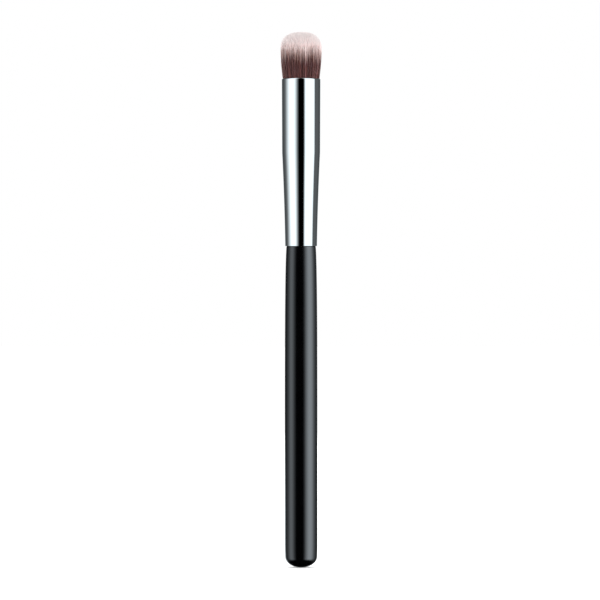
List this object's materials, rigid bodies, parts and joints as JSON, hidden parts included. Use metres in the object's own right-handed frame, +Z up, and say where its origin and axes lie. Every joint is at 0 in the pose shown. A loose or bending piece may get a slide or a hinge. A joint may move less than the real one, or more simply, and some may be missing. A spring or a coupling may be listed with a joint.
{
  "type": "concealer brush",
  "caption": "Slim round concealer brush: lacquered wooden handle with a rounded butt, tapered plated ferrule and a short domed tuft of dip-dyed filaments that flexes sideways and springs back.",
  "frame": {"origin": "lowest point of the handle's rounded butt, on the brush's axis", "axes": "+Z up along the brush's axis from the butt to the tuft, and the tuft flexes towards +X and -X"},
  "size_m": [0.0122, 0.0122, 0.1601],
  "materials": {
    "lacquered_wood": "smooth black lacquer, satin gloss",
    "plated_ferrule": "bright plated, near mirror",
    "adhesive": "clear amber cured adhesive",
    "set_roots": "filament ends set hard in adhesive",
    "thread": "waxed thread",
    "filament": "fine filaments, plum-brown at the base and pale pinkish white at the tips"
  },
  "bodies": {
    "handle_assembly": {"handle": "lacquered_wood", "tenon_adhesive": "adhesive", "ferrule": "plated_ferrule", "root_plug": "set_roots", "binding_thread": "thread"},
    "tuft": {"filament_tuft": "filament"}
  },
  "joints": [
    {"name": "tuft_flex", "type": "hinge", "parent": "handle_assembly", "child": "tuft", "pos_m": [0, 0, 0.146], "axis": [0, 1, 0], "range_deg": [-20, 20], "stiffness_Nm_per_rad": 0.015, "deforming": ["filament_tuft"]}
  ]
}
